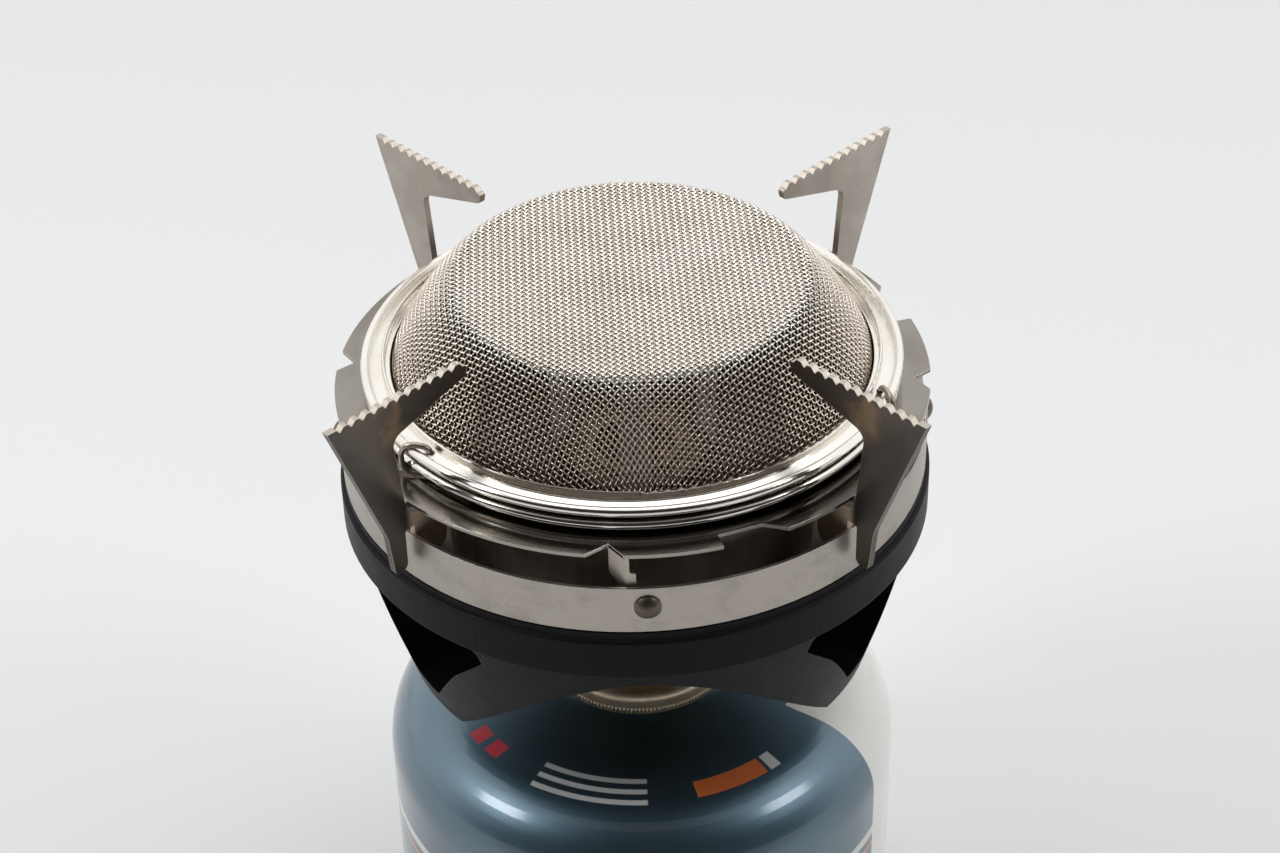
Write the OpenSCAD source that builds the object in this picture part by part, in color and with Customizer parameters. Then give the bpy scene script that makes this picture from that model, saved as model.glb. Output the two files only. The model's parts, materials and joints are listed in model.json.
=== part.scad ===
// Canister stove: a screw-on gas burner with a woven wire head and a twist-on pot support.
// Millimetres, +Z up, origin at the middle of the canister's foot, front of the stove towards -Y.

/* [Canister] */
// Outer diameter of the canister
can_d = 90; // [80:1:110]
// Height from the foot to the top of the valve cup's curl
can_h = 66; // [56:1:90]
// Thickness of the canister's steel sheet
can_sheet = 0.5; // [0.3:0.1:0.8]
// Height of the shoulder, from the straight wall up to the curl's top
shoulder_h = 20; // [18:1:26]
// Radius of the shoulder's corner
shoulder_r = 13; // [8:1:15]
// Height of the rolled seam at the foot
seam_h = 3.2; // [2:0.2:5]
// How far the wall steps in behind the seam
seam_step = 1.3; // [0.9:0.1:2]
// Depth of the dish in the base
base_dish = 7; // [4:0.5:10]

/* [Canister valve] */
// Outer diameter of the valve cup's curl
curl_d = 32; // [30:0.5:34]
// Height of the curl's skirt
curl_h = 4.3; // [3.5:0.1:5]
// Diameter of the threaded collar
thread_d = 11.1; // [10:0.1:12]
// Height of the threaded collar above the curl
thread_h = 8.5; // [7:0.5:10]
// Diameter of the canister's valve stem
stem_d = 3.6; // [3:0.1:4]
// Coils in the canister's valve spring
spring_coils = 5; // [4:1:7]

/* [Stove valve] */
// Height of the spindle's axis above the socket for the canister
spindle_rise = 6.5; // [5.5:0.1:10]
// Metal above the boss of the spindle
valve_cap = 0.1; // [0.1:0.1:6]
// Diameter of the valve body's collar
valve_d = 26; // [22:0.5:30]
// Diameter of the spindle
spindle_d = 5; // [4:0.1:6]
// How far the handle's pivot stands out past the shroud, or the canister if that is wider
pivot_out = 3.9; // [3.5:0.1:12]
// Diameter of the handle's wire
handle_wire = 2; // [1.6:0.1:2.4]
// Width of the handle's loop, between wire centres
handle_w = 15; // [13:0.5:16]
// Length of the handle, from pivot to the wire centre at its end
handle_l = 32; // [24:1:36]
// Outer diameter of the mixing tube
tube_d = 16; // [14:0.5:20]
// Free length of the mixing tube, between valve body and cup
tube_h = 15; // [12:0.5:24]

/* [Burner head] */
// Outer diameter of the burner cup's wall
cup_d = 81; // [76:0.5:84]
// Depth of the burner cup, from its floor to the middle of its rolled rim
cup_depth = 21.1; // [18:0.1:30]
// Thickness of the polished sheet parts
sheet = 0.6; // [0.5:0.1:0.7]
// Radius of the rolled rims
bead_r = 0.8; // [0.7:0.05:0.9]
// How far the rolled rims stand out from the cup's wall, to their middle
bead_out = 2.5; // [2.4:0.1:3]
// Height between the middles of the two rolled rims
bead_rise = 2.6; // [2.4:0.1:3.2]
// Height of the dome's crease above the retaining ring's bead
dome_h = 14.7; // [10:0.1:20]
// Swell of the dome's slope, out of the straight line
dome_swell = 0.9; // [0:0.1:2]
// Width of the dome's slope in plan, from the cup's wall in to the crease
dome_slope_w = 11.5; // [6:0.1:16]
// Height of the slight crown on the dome's top
crown_h = 0.4; // [0.2:0.1:2]
// Thickness of the woven wire
mesh_t = 0.8; // [0.6:0.1:1]
// Diameter of the tie wire
tie_wire = 0.9; // [0.7:0.05:1]

/* [Pot support] */
// How far the band's outside stands out from the burner cup's wall
band_out = 7.9; // [7.7:0.1:14]
// Height of the locking band
band_h = 8.4; // [7:0.1:12]
// Thickness of the locking band
band_t = 0.5; // [0.4:0.1:0.8]
// Height of the bayonet plate's top above the band's top
plate_over_band = 6.6; // [6.2:0.1:9]
// Angle that the band turns to bring its pins to the gates, in degrees
band_turn = 18.4; // [14:0.1:19]
// Diameter of the lock pins
pin_d = 2.8; // [2.4:0.1:3]
// Diameter of the lock pins' domed heads
pin_head_d = 4.2; // [3.6:0.1:5]
// Thickness of the pot arms
arm_t = 1.2; // [1:0.1:1.6]
// Height of the arms' top edge above the band's top
arm_rise = 26.3; // [22:0.1:32]
// How far an arm's outer tip stands out past the band
arm_over = 13.9; // [8:0.1:25]
// How far an arm's inner tip reaches in past the band
arm_under = 13.2; // [9:0.1:18]
// How far an arm's notch stands clear of the band's outside
notch_out = 1.3; // [0.3:0.1:1.6]
// Height of an arm's notch above the band's top
notch_over = 1.6; // [0.4:0.1:2]
// Teeth along an arm's top edge
arm_teeth = 12; // [8:1:16]
// Turn of the four arms from the diagonals, in degrees
arm_offset = -1.5; // [-4:0.5:4]

/* [Shroud] */
// Wall of the shroud
shroud_t = 1.8; // [1.4:0.1:2.4]
// How far the shroud's rim stands out past the band
rim_out = 0.7; // [0.5:0.1:2]
// Inward slope of the shroud below its rim, in degrees
taper = 16.5; // [8:0.5:20]
// Height of the windows
window_h = 24; // [20:0.5:28]
// Width of a window at its tips
window_w = 43.8; // [36:0.2:46]
// Height of the solid strip below a window
foot_strip = 3.9; // [3:0.1:6]
// Width of a foot's lower edge
foot_w = 15.4; // [12:0.2:18]
// Distance from the rim down to the top of the arches between the feet
arch_drop = 2.7; // [2:0.1:6]
// Turn of the shroud from the stove's front, in degrees
shroud_turn = 1; // [-4:0.5:4]

/* [Hidden] */
$fn = 96;
eps = 0.01;
// Clearance of a bore round its fixed pin, of a running shaft, and between bodies that pass
fit_gap = 0.05;
run_gap = 0.1;
clear = 0.3;
steel = "#b9b5ac";
polished = "#d4d1ca";
tinted = "#5b534a";
brass = "#b5914f";
black = "#26272a";
rubber = "#1c1c1c";

can_r = can_d / 2;
curl_r = curl_d / 2;
cup_roll = 1.8;
cup_sheet = 0.5;
neck_r = curl_r - cup_sheet - 0.1;
neck_z = can_h - curl_h - 0.2;
collar_r = thread_d / 2;
pedestal_r = collar_r + 1.45;
collar_top = can_h + thread_h;
collar_bore = stem_d / 2 + 0.4;
flange_top = can_h - cup_sheet - fit_gap;
flange_t = 1.4;
gasket_t = 1.1;
gasket_top = flange_top - flange_t - fit_gap;
housing_top = gasket_top - gasket_t - fit_gap;
housing_h = 12.7;
housing_r = pedestal_r - cup_sheet - 0.3;
housing_wall = 1.2;
stem_lift = 1.9;
stem_head_t = 2;
stem_head_r = housing_r - housing_wall - 0.9;
stem_head_top = gasket_top - gasket_t - stem_lift;
stem_top = collar_top - 2.9;
spring_wire = 0.8;
spring_z0 = housing_top - housing_h + housing_wall + spring_wire / 2 + fit_gap;
spring_z1 = stem_head_top - stem_head_t - spring_wire / 2 - fit_gap;
spring_r = stem_head_r - spring_wire / 2 - 0.3;

body_z0 = can_h + clear;
body_r = valve_d / 2;
neck_out = tube_d / 2 + 0.8;
seal_r = 0.9;
seal_mid = collar_r - 0.45 - seal_r;
seal_z = collar_top + run_gap + seal_r;
socket_r = collar_r + run_gap;
socket_top = seal_z + seal_r + run_gap;
probe_r = 1.4;
probe_head_r = 2.6;
probe_head_t = 0.8;
spindle_r = spindle_d / 2;
spindle_z = socket_top + spindle_rise;
boss_r = spindle_r + 2.4;
body_z1 = spindle_z + boss_r + valve_cap;
boss_y = body_r + 4;
gland_y = boss_y + 6;
thread_r = spindle_r + 0.5;
seat_y = 4;
seat_r = 1.8;
groove_y = 12;
groove_w = 1.2;
groove_r = spindle_r - 0.6;
oring_r = 0.5;
head_r = handle_wire / 2 + 1.9;
cup_r = cup_d / 2;
band_r = cup_r + band_out;
shroud_r = band_r + rim_out;
pivot_y = max(shroud_r, can_r) + pivot_out;
head_y0 = pivot_y - 4.5;
head_y1 = pivot_y + 3;
wire_r = handle_wire / 2;
bend_r = 2.5;
jet_flats = 7;
jet_h = 4;

tube_r = tube_d / 2;
tube_wall = 1;
air_hole_r = 2.2;
air_hole_z = body_z1 + 6;
floor_z = body_z1 + tube_h;
nut_h = 3.4;
nut_flats = tube_d + 6;
cup_in = cup_r - sheet;
cup_corner = 3;
rim_z = floor_z + cup_depth;
rim_r = cup_r + bead_out;
ring_z = rim_z + bead_rise;
ring_r = rim_r + 0.3;
skirt_r = cup_in - run_gap;
skirt_z0 = rim_z - 3;
flange_z = ring_z + 0.1;
lip_r = skirt_r + 0.3;
lip_top = ring_z + 1.6;
mesh_r = skirt_r - 0.5 - run_gap;
crease_z = ring_z + dome_h;
crease_r = cup_r - dome_slope_w;
spreader_t = 0.8;
spreader_leg = nut_flats / 2 + 2.8;
spreader_r = crease_r - mesh_t - 0.4;
spreader_z = crease_z - mesh_t - clear - spreader_t;

plate_z = rim_z - bead_r - 0.7;
plate_r = band_r + 0.2;
plate_neck = 4.5;
band_top = plate_z - plate_over_band;
band_in = band_r - band_t;
band_z0 = band_top - band_h;
pin_r = pin_d / 2;
pin_z = band_top - 3.5;
pin_az = 1.6;
pin_reach = 1.5;
hook_r = band_in - 0.5;
hook_x0 = -1.9;
gate_depth = 2.8;
gate_w0 = band_turn - 3;
gate_w1 = band_turn + 6;
gate_ramp = 4;

ledge_z = band_z0 - clear;
rim_top = ledge_z - 1.4;
floor_t = 2.2;
rim_bottom = floor_z - floor_t - 1.9;
spigot_r = band_in - clear;
spigot_top = pin_z - pin_r - 1.1;
cone_r = shroud_r - 0.4;
slope = tan(taper);
foot_z = rim_bottom - window_h - foot_strip;
window_side = 4.1;
sill_w = 16;
vents = [60, 180, 300];
screw_r = 1.5;
screw_at = cup_r - 10.5;
screw_head_r = 2.8;

arm_out = band_r + arm_over;
arm_in = band_r - arm_under;
arm_az = [for (i = [0:3]) -45 + 90 * i + arm_offset];
tie_az = [for (i = [0:2]) -54 + 120 * i];
tie_skew = 46;
// Slack of a tie round the rolled rims, distance of its outer leg from the axis, and its width
tie_slack = 0.15;
tie_r = ring_r + bead_r + tie_slack + tie_wire / 2;
tie_w = (tie_r - (ring_r - 1.9)) / cos(tie_skew);

// Shared shapes

// Tube between two heights
module tube(r_out, r_in, z0, z1) {
    difference() {
        translate([0, 0, z0]) cylinder(r = r_out, h = z1 - z0);
        translate([0, 0, z0 - eps]) cylinder(r = r_in, h = z1 - z0 + 2 * eps);
    }
}

module rod(r, z0, z1) {
    translate([0, 0, z0]) cylinder(r = r, h = z1 - z0);
}

// Turns its children from the front, -Y, to an azimuth counted towards +X
module at(az) {
    rotate([0, 0, az]) children();
}

// Rod along +Y
module rod_y(r, y0, y1) {
    translate([0, y0, 0]) rotate([-90, 0, 0]) cylinder(r = r, h = y1 - y0);
}

// Rod that points outwards to the front
module rod_front(r, y0, y1) {
    rotate([90, 0, 0]) translate([0, 0, y0]) cylinder(r = r, h = y1 - y0);
}

// Torus about Z
module bead(r_mid, z, r) {
    translate([0, 0, z]) rotate_extrude() translate([r_mid, 0]) circle(r = r, $fn = 32);
}

// Hexagon prism measured across its flats
module hex(flats, z0, z1) {
    translate([0, 0, z0]) cylinder(d = flats / cos(30), h = z1 - z0, $fn = 6);
}

// Bent wire: a bend of the given angle about Z that starts at [bend radius, 0]
module bend(r_bend, r_wire, angle) {
    rotate_extrude(angle = angle) translate([r_bend, 0]) circle(r = r_wire, $fn = 32);
}

function unit(v) = v / norm(v);
function xy(p) = [p[0], p[1]];

// Points that round the corner b of the path a, b, c
function corner(a, b, c, r, n = 6) =
    let (u = unit(a - b), v = unit(c - b), half = acos(u * v) / 2)
    let (room = 0.48 * min(norm(a - b), norm(c - b)) * tan(half), q = min(r, room))
    q < eps ? [b] :
    let (mid = b + unit(u + v) * q / sin(half), p = b + u * q / tan(half) - mid)
    let (e = b + v * q / tan(half) - mid, a0 = atan2(p[1], p[0]))
    let (turn = (atan2(e[1], e[0]) - a0 + 540) % 360 - 180)
    [for (i = [0:n]) mid + q * [cos(a0 + turn * i / n), sin(a0 + turn * i / n)]];

// Outline with its corners rounded: each point is [x, y, radius]
function rounded(v) =
    let (n = len(v))
    [for (i = [0:n - 1]) each corner(xy(v[(i + n - 1) % n]), xy(v[i]), xy(v[(i + 1) % n]), v[i][2])];

// Canister

// Profile of the canister's outside, drawn in by inset
function can_profile(inset) =
    let (z0 = can_h - shoulder_h, mid = [can_r - shoulder_r, z0], r = shoulder_r - inset)
    let (neck = [neck_r, neck_z - inset], v = neck - mid)
    let (turn = atan2(v[1], v[0]) - acos(r / norm(v)), steps = 12)
    concat(
        [[can_r - seam_step - inset, seam_h / 2], [can_r - seam_step - inset, seam_h]],
        [[can_r - inset, seam_h + 2 * seam_step]],
        [for (i = [0:steps]) mid + r * [cos(turn * i / steps), sin(turn * i / steps)]],
        [neck]
    );

module canister_shell() {
    outside = can_profile(0);
    inside = can_profile(can_sheet);
    neck_top = can_h - cup_roll;
    color("#3f5768") rotate_extrude() polygon(concat(
        outside,
        [[neck_r, neck_top], [neck_r - can_sheet, neck_top], [neck_r - can_sheet, neck_z - can_sheet]],
        [for (i = [len(inside) - 2:-1:0]) inside[i]]
    ));
}

module canister_base() {
    wall = can_r - seam_step;
    dish_r = wall - 6;
    color("silver") rotate_extrude() polygon([
        [0, base_dish], [dish_r * 0.5, base_dish * 0.82], [dish_r, base_dish * 0.3], [wall - 2.6, 0.2],
        [wall - 2, 0], [can_r - 0.5, 0], [can_r, 0.5], [can_r, seam_h - 0.4], [can_r - 0.3, seam_h],
        [wall + fit_gap, seam_h], [wall + fit_gap, seam_h / 2 - fit_gap],
        [wall - can_sheet - fit_gap, seam_h / 2 - fit_gap], [wall - can_sheet - fit_gap, seam_h],
        [wall - 1.5, seam_h], [wall - 1.5, 1.2], [dish_r, base_dish * 0.3 + can_sheet],
        [dish_r * 0.5, base_dish * 0.82 + can_sheet], [0, base_dish + can_sheet]
    ]);
}

module valve_cup() {
    mid = [curl_r - cup_roll, can_h - cup_roll];
    inner = cup_roll - cup_sheet;
    dish = can_h - 5.5;
    floor_w = mid[0] - cup_roll - pedestal_r + 2 * cup_sheet;
    color("#c3a468") rotate_extrude() {
        difference() {
            translate(mid) circle(r = cup_roll);
            translate(mid) circle(r = inner);
            translate([0, mid[1] - can_h]) square([can_d, can_h]);
        }
        translate([curl_r - cup_sheet, can_h - curl_h]) square([cup_sheet, curl_h - cup_roll + eps]);
        translate([mid[0] - cup_roll, dish]) square([cup_sheet, mid[1] - dish + eps]);
        translate([pedestal_r - cup_sheet, dish]) square([floor_w, cup_sheet]);
        translate([pedestal_r - cup_sheet, dish]) square([cup_sheet, can_h - dish]);
        translate([collar_r - 0.9, can_h - cup_sheet]) square([pedestal_r - collar_r + 0.9, cup_sheet]);
    }
}

module valve_collar() {
    root = collar_r - 0.9 - fit_gap;
    crest = 0.6;
    color(brass) difference() {
        union() {
            rod(collar_r, can_h + fit_gap, collar_top - crest);
            translate([0, 0, collar_top - crest]) cylinder(r1 = collar_r, r2 = collar_r - crest, h = crest);
            rod(root, flange_top - eps, can_h + fit_gap + eps);
            rod(housing_r - 0.4, flange_top - flange_t, flange_top);
        }
        rod(collar_bore, flange_top - flange_t - 1, collar_top + 1);
    }
}

module valve_gasket() {
    color(rubber) tube(housing_r - 0.4, stem_d / 2 + run_gap, gasket_top - gasket_t, gasket_top);
}

module valve_stem() {
    color("ivory") difference() {
        union() {
            rod(stem_d / 2, stem_head_top - eps, stem_top);
            rod(stem_head_r, stem_head_top - stem_head_t, stem_head_top);
        }
        rod(stem_d / 4, stem_top - 6, stem_top + 1);
    }
}

module valve_housing() {
    bottom = housing_top - housing_h;
    color("white") difference() {
        rod(housing_r, bottom, housing_top);
        rod(housing_r - housing_wall, bottom + housing_wall, housing_top + 1);
        rod(1, bottom - 1, bottom + housing_wall + 1);
    }
}

// Closing spring: one wire, swept round a helix
module valve_spring() {
    sides = 6;
    steps = 12 * spring_coils;
    rise = spring_z1 - spring_z0;
    function ring(i) =
        let (a = 360 * i * spring_coils / steps, z = spring_z0 + rise * i / steps)
        [for (k = [0:sides - 1]) let (b = 360 * k / sides, d = spring_r + spring_wire / 2 * cos(b))
            [d * cos(a), d * sin(a), z + spring_wire / 2 * sin(b)]];
    points = [for (i = [0:steps]) each ring(i)];
    last = steps * sides;
    walls = [for (i = [0:steps - 1]) for (k = [0:sides - 1])
        let (p = i * sides + k, q = i * sides + (k + 1) % sides)
        each [[p, p + sides, q], [q, p + sides, q + sides]]];
    ends = [for (k = [1:sides - 2]) each [[0, k, k + 1], [last, last + k + 1, last + k]]];
    color("silver") polyhedron(points, concat(walls, ends), convexity = 10);
}

// Stove valve

module valve_body() {
    grips = 24;
    color(brass) difference() {
        union() {
            rod(body_r, body_z0, socket_top + 2);
            rod(neck_out, socket_top + 2 - eps, body_z1);
            translate([0, 0, spindle_z]) rod_y(boss_r, 0, boss_y);
        }
        rod(socket_r, body_z0 - 1, socket_top);
        rod(probe_r + fit_gap, socket_top - eps, socket_top + 2.5);
        rod(probe_r - 0.4, socket_top + 2, spindle_z);
        translate([0, 0, spindle_z]) rod_y(seat_r, -1.2, seat_y + eps);
        translate([0, 0, spindle_z]) rod_y(thread_r + run_gap, seat_y, boss_y + 1);
        rod(1.2, spindle_z, body_z1 + 1);
        rod(3.3, body_z1 - 2, body_z1 + 1);
        for (i = [0:grips - 1]) at(360 * i / grips) translate([0, -body_r - 0.6, body_z0 - 1])
            cylinder(r = 1, h = 6, $fn = 24);
    }
}

module canister_seal() {
    color(rubber) bead(seal_mid, seal_z, seal_r);
}

module valve_pin() {
    color("silver") difference() {
        union() {
            rod(probe_r, stem_top + run_gap, socket_top + 2.4);
            rod(probe_head_r, socket_top - probe_head_t, socket_top);
        }
        rod(probe_r / 2, stem_top, socket_top + 3);
        translate([-0.3, -probe_r - 1, stem_top]) cube([0.6, 2 * probe_r + 2, 1.2]);
    }
}

module gas_filter() {
    color("#8d7a55") rod(3.2, body_z1 - 2 + fit_gap, body_z1 - 0.8);
}

module jet() {
    color(brass) difference() {
        union() {
            rod(3.2, body_z1 - 0.8 + fit_gap, body_z1 + eps);
            hex(jet_flats, body_z1, body_z1 + jet_h - 1);
            translate([0, 0, body_z1 + jet_h - 1 - eps]) cylinder(r1 = 2.4, r2 = 1.4, h = 1);
        }
        rod(0.3, body_z1 - 1, body_z1 + jet_h + 1);
    }
}

module spindle() {
    color("silver") translate([0, 0, spindle_z]) difference() {
        union() {
            translate([0, 2.2, 0]) rotate([-90, 0, 0]) cylinder(r1 = 0.4, r2 = seat_r - fit_gap, h = 2);
            rod_y(seat_r - fit_gap, 4.2 - eps, seat_y + 2.6);
            rod_y(thread_r, seat_y + 2.5, groove_y - groove_w);
            rod_y(spindle_r, groove_y - groove_w - eps, head_y0 + 0.5);
            rod_y(head_r, head_y0, head_y1);
        }
        translate([0, groove_y - groove_w / 2, 0]) rotate([-90, 0, 0])
            tube(spindle_r + 1, groove_r, 0, groove_w);
        translate([0, pivot_y, 0]) rotate([0, 90, 0])
            cylinder(r = wire_r + fit_gap, h = 4 * head_r, center = true);
        for (s = [-1, 1]) translate([s * (head_r + 1.2), pivot_y - 1, 0])
            cube([2 * head_r - 1.2, 12, 4 * head_r], center = true);
    }
}

module spindle_seal() {
    mid = (groove_r + thread_r + run_gap) / 2;
    color(rubber) translate([0, groove_y, spindle_z]) rotate([-90, 0, 0]) bead(mid, 0, oring_r);
}

module gland_nut() {
    color(brass) translate([0, 0, spindle_z]) difference() {
        union() {
            translate([0, boss_y, 0]) rotate([-90, 0, 0]) hex(2 * boss_r + 1, 0, gland_y - boss_y);
            rod_y(thread_r + run_gap - fit_gap, boss_y - 2, boss_y + eps);
        }
        rod_y(spindle_r + run_gap, boss_y - 3, gland_y + 1);
    }
}

// Wire loop, folded down: it hangs from the pivot across the spindle's head
module wire_handle() {
    half = handle_w / 2;
    stub = half - bend_r;
    end_r = half - fit_gap;
    straight = handle_l - end_r;
    color("silver") translate([0, pivot_y, spindle_z]) rotate([-90, 0, 0]) union() {
        for (s = [0, 1]) mirror([s, 0, 0]) {
            translate([0.4, 0, 0]) rotate([0, 90, 0]) cylinder(r = wire_r, h = stub - 0.4 + eps, $fn = 32);
            translate([stub, bend_r, 0]) rotate([0, 0, -90]) bend(bend_r, wire_r, 90);
            translate([half, bend_r - eps, 0]) rotate([-90, 0, 0])
                cylinder(r = wire_r, h = straight - bend_r + 2 * eps, $fn = 32);
        }
        translate([0, straight, 0]) bend(half, wire_r, 180);
    }
}

module mixing_tube() {
    color(brass) difference() {
        union() {
            tube(tube_r, tube_r - tube_wall, body_z1, floor_z + sheet + nut_h + 1);
            tube(tube_r + 1.5, tube_r - eps, floor_z - floor_t, floor_z);
        }
        for (a = [45:90:315]) at(a) translate([0, 0, air_hole_z]) rod_front(air_hole_r, 0, tube_d);
    }
}

module tube_nut() {
    color(brass) difference() {
        hex(nut_flats, floor_z + sheet, floor_z + sheet + nut_h);
        rod(tube_r + fit_gap, floor_z, floor_z + sheet + nut_h + 1);
    }
}

// Burner head

module burner_cup() {
    c = cup_corner;
    flare = 1.2;
    color(polished) difference() {
        union() {
            rotate_extrude() {
                translate([tube_r + fit_gap, floor_z]) square([cup_r - c - tube_r - fit_gap, sheet]);
                intersection() {
                    translate([cup_r - c, floor_z + c]) difference() {
                        circle(r = c);
                        circle(r = c - sheet);
                    }
                    translate([cup_r - c - eps, floor_z]) square([c + eps, c + eps]);
                }
                polygon([
                    [cup_in, floor_z + c], [cup_r, floor_z + c], [cup_r, rim_z - flare],
                    [rim_r, rim_z - sheet / 2], [rim_r, rim_z + sheet / 2],
                    [cup_r - sheet / 2, rim_z - flare + sheet], [cup_in, rim_z - flare]
                ]);
            }
            bead(rim_r, rim_z, bead_r);
        }
        for (a = vents) at(a) translate([0, -screw_at, 0]) rod(screw_r + fit_gap, floor_z - 1, floor_z + 2);
        tie_holes();
    }
}

// Holes that the ties' inner legs pass through
module tie_holes() {
    for (a = tie_az) tie_frame(a) translate([-tie_w, 0, 0]) rod(tie_wire / 2 + 0.2, rim_z - 4, ring_z + 4);
}

// Frame of a tie: the origin on its outer leg, with the inner leg on the -X side
module tie_frame(a) {
    at(a) translate([0, -tie_r, 0]) rotate([0, 0, -90 - tie_skew]) children();
}

module wire_ties() {
    w = tie_w;
    r = tie_wire / 2;
    c = 0.9;
    top = ring_z + bead_r + tie_slack + r;
    low = rim_z - bead_r - tie_slack - r;
    tail = 2;
    color("#8a8378") for (a = tie_az) tie_frame(a) {
        rod(r, low + c, top - c);
        translate([-w, 0, 0]) rod(r, low + tail, top - c);
        for (z = [top, low]) translate([-w + c, 0, z]) rotate([0, 90, 0]) cylinder(r = r, h = w - 2 * c);
        translate([-c, 0, top - c]) rotate([90, 0, 0]) bend(c, r, 90);
        translate([-w + c, 0, top - c]) rotate([90, -90, 0]) bend(c, r, 90);
        translate([-c, 0, low + c]) rotate([90, 90, 0]) bend(c, r, 90);
    }
}

module rim_gasket() {
    color(black) difference() {
        tube(ring_r - bead_r - fit_gap, cup_r - 0.2, rim_z + bead_r + 0.1, flange_z - sheet - fit_gap);
        tie_holes();
    }
}

module retaining_ring() {
    color(polished) difference() {
        union() {
            tube(lip_r + 0.5, skirt_r - 0.5, flange_z - sheet, flange_z);
            tube(skirt_r, skirt_r - 0.5, skirt_z0, flange_z - sheet + eps);
            tube(lip_r + 0.5, lip_r, flange_z - eps, lip_top - 0.25);
            bead(lip_r + 0.25, lip_top - 0.25, 0.25);
            tube(ring_r, lip_r + 0.5 - eps, flange_z - sheet, flange_z);
            bead(ring_r, ring_z, bead_r);
        }
        tie_holes();
    }
}

// Slope of the dome from the retaining ring to its crease, drawn in by inset
function dome_slope(inset) =
    let (a = [mesh_r - 0.1, flange_z + 0.2], b = [crease_r, crease_z], steps = 6)
    let (along = unit(b - a), out = [along[1], -along[0]])
    [for (i = [0:steps]) let (f = i / steps) a + (b - a) * f + out * (4 * dome_swell * f * (1 - f) - inset)];

module mesh_dome() {
    foot = skirt_z0;
    leave = flange_z - 0.4;
    top = crease_z + crown_h;
    inside = dome_slope(mesh_t);
    color("#a29b90") rotate_extrude() polygon(concat(
        [[mesh_r - mesh_t, foot], [mesh_r, foot], [mesh_r, leave]],
        dome_slope(0),
        [[crease_r * 0.6, top - crown_h * 0.3], [0, top], [0, top - mesh_t]],
        [[crease_r * 0.6, top - crown_h * 0.3 - mesh_t], [crease_r - mesh_t, crease_z - mesh_t]],
        [for (i = [len(inside) - 2:-1:0]) inside[i]],
        [[mesh_r - mesh_t, leave]]
    ));
}

// Plate on three legs, close under the dome's top
module flame_spreader() {
    t = spreader_t;
    leg_w = 5;
    color(steel) union() {
        translate([0, 0, spreader_z]) cylinder(r1 = spreader_r, r2 = spreader_r - t / 2, h = t);
        for (a = vents) at(a + 60) translate([-leg_w / 2, -spreader_leg - t, floor_z + sheet])
            cube([leg_w, t, spreader_z - floor_z - sheet + eps]);
    }
}

// Plate with the pot's bayonet: gates and bent-down J hooks, four times round
module bayonet_plate() {
    z0 = plate_z - sheet;
    color(polished) difference() {
        union() {
            difference() {
                rod(plate_r, z0, plate_z);
                for (i = [0:3]) at(90 * i) translate([0, 0, z0 - 1]) linear_extrude(sheet + 2) plate_gates();
            }
            rod(cup_r + fit_gap + sheet, plate_z - plate_neck, plate_z - eps);
            for (i = [0:3]) at(90 * i) hook();
        }
        rod(cup_r + fit_gap, plate_z - plate_neck - 1, plate_z + 1);
        for (a = tie_az) tie_frame(a) translate([-tie_w - 1, -1.2, z0 - 1]) cube([tie_w + 2, 2.4, sheet + 2]);
    }
}

function on_circle(r, az) = [r * sin(az), -r * cos(az)];

// Plan of the two cut-outs in one quarter of the plate
module plate_gates() {
    deep = plate_r - gate_depth;
    past = plate_r + 4;
    polygon([on_circle(deep, gate_w0), on_circle(past, gate_w0), on_circle(past, gate_w1 + gate_ramp + 1),
        on_circle(plate_r + 0.2, gate_w1 + gate_ramp), on_circle(deep, gate_w1)]);
    polygon([on_circle(plate_r + 0.2, -9.5), on_circle(past, -9.5), on_circle(past, -2.3),
        on_circle(plate_r + 0.2, -2.3), on_circle(deep, -5.5)]);
}

// J hook: a bent-down flange, a spine with an open notch above its foot, and a catch over the pin
module hook() {
    top = plate_z - eps;
    inner = on_circle(plate_r - gate_depth, -5.5);
    outer = [hook_x0, -hook_r];
    side = atan2(outer[1] - inner[1], outer[0] - inner[0]);
    len = norm(outer - inner);
    foot_top = band_top + 2.2;
    foot_low = pin_z + pin_r + clear;
    foot_x = -0.3;
    stop_x = hook_r * sin(pin_az) - pin_r - clear;
    translate([inner[0], inner[1], 0]) rotate([0, 0, side]) rotate([90, 0, 0]) translate([0, 0, -sheet])
        linear_extrude(sheet) polygon([[0, band_top + 1.4], [len, foot_low], [len, top], [0, top]]);
    translate([0, -hook_r + sheet, 0]) rotate([90, 0, 0]) linear_extrude(sheet) polygon(rounded([
        [hook_x0, top, 0], [hook_x0, pin_z - pin_r, 0], [stop_x, pin_z - pin_r, 0], [stop_x, foot_low, 0],
        [hook_r * sin(pin_az) + pin_r, foot_low, 0], [hook_r * sin(pin_az) + pin_r, foot_low + 0.5, 0],
        [foot_x, foot_low + 0.5, 0], [foot_x, foot_top, 0.3], [hook_x0 + sheet, foot_top, 1],
        [hook_x0 + sheet, top - sheet - 0.5, 1], [foot_x, top, 0]
    ]));
}

// Pot support

module locking_band() {
    color(steel) difference() {
        tube(band_r, band_in, band_z0, band_top);
        for (i = [0:3]) at(90 * i + pin_az) translate([0, 0, pin_z])
            rod_front(pin_r + fit_gap, band_in - 2, band_r + 2);
    }
}

module lock_pins() {
    dome = 1.1;
    proud = 1.4;
    color("#7d766d") for (i = [0:3]) at(90 * i + pin_az) translate([0, 0, pin_z]) {
        rod_front(pin_r, band_in - pin_reach, band_r + 0.5);
        rod_front(pin_head_d / 2, band_r + fit_gap, band_r + proud - dome);
        intersection() {
            rod_front(pin_head_d / 2, band_r + proud - dome - eps, band_r + proud);
            translate([0, -(band_r + proud) + cap_r(dome), 0]) sphere(r = cap_r(dome));
        }
    }
}

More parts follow.
